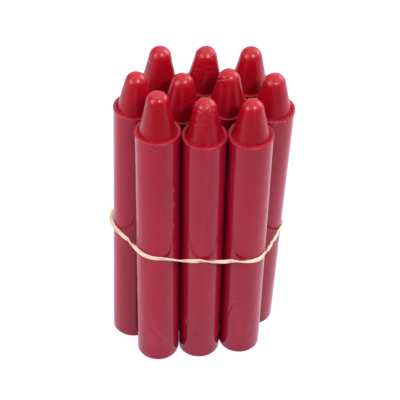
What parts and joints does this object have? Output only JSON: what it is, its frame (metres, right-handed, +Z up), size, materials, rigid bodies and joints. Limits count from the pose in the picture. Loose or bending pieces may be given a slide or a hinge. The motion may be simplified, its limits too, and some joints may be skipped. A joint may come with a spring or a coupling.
{
  "type": "crayon bundle",
  "caption": "Bundle of moulded wax crayons with tapered tips, standing upright in honeycomb rows and held by one flat rubber band round the outside.",
  "frame": {"origin": "under the middle of the bundle, on the surface that it stands on", "axes": "+Z up, +X along the row of four, -Y towards the front row of three"},
  "size_m": [0.0532, 0.0386, 0.1027],
  "materials": {
    "red_wax": "satin",
    "band_rubber": "satin"
  },
  "bodies": {
    "band": {"rubber_band": "band_rubber"},
    "crayon_front_left": {"crayon_front_left": "red_wax"},
    "crayon_front_centre": {"crayon_front_centre": "red_wax"},
    "crayon_front_right": {"crayon_front_right": "red_wax"},
    "crayon_middle_far_left": {"crayon_middle_far_left": "red_wax"},
    "crayon_middle_left": {"crayon_middle_left": "red_wax"},
    "crayon_middle_right": {"crayon_middle_right": "red_wax"},
    "crayon_middle_far_right": {"crayon_middle_far_right": "red_wax"},
    "crayon_back_left": {"crayon_back_left": "red_wax"},
    "crayon_back_centre": {"crayon_back_centre": "red_wax"},
    "crayon_back_right": {"crayon_back_right": "red_wax"}
  },
  "joints": [
    {"name": "front_left_slide", "type": "slide", "parent": "band", "child": "crayon_front_left", "axis": [-0.0207, 0.0239, 0.9995], "range_m": [0, 0.105]},
    {"name": "front_centre_slide", "type": "slide", "parent": "band", "child": "crayon_front_centre", "axis": [-0.0207, 0, 0.9998], "range_m": [0, 0.105]},
    {"name": "front_right_slide", "type": "slide", "parent": "band", "child": "crayon_front_right", "axis": [-0.0207, -0.0239, 0.9995], "range_m": [0, 0.105]},
    {"name": "middle_far_left_slide", "type": "slide", "parent": "band", "child": "crayon_middle_far_left", "axis": [0, 0.0359, 0.9994], "range_m": [0, 0.105]},
    {"name": "middle_left_slide", "type": "slide", "parent": "band", "child": "crayon_middle_left", "axis": [0, 0.012, 0.9999], "range_m": [0, 0.105]},
    {"name": "middle_right_slide", "type": "slide", "parent": "band", "child": "crayon_middle_right", "axis": [0, -0.012, 0.9999], "range_m": [0, 0.105]},
    {"name": "middle_far_right_slide", "type": "slide", "parent": "band", "child": "crayon_middle_far_right", "axis": [0, -0.0359, 0.9994], "range_m": [0, 0.105]},
    {"name": "back_left_slide", "type": "slide", "parent": "band", "child": "crayon_back_left", "axis": [0.0207, 0.0239, 0.9995], "range_m": [0, 0.105]},
    {"name": "back_centre_slide", "type": "slide", "parent": "band", "child": "crayon_back_centre", "axis": [0.0207, 0, 0.9998], "range_m": [0, 0.105]},
    {"name": "back_right_slide", "type": "slide", "parent": "band", "child": "crayon_back_right", "axis": [0.0207, -0.0239, 0.9995], "range_m": [0, 0.105]}
  ]
}
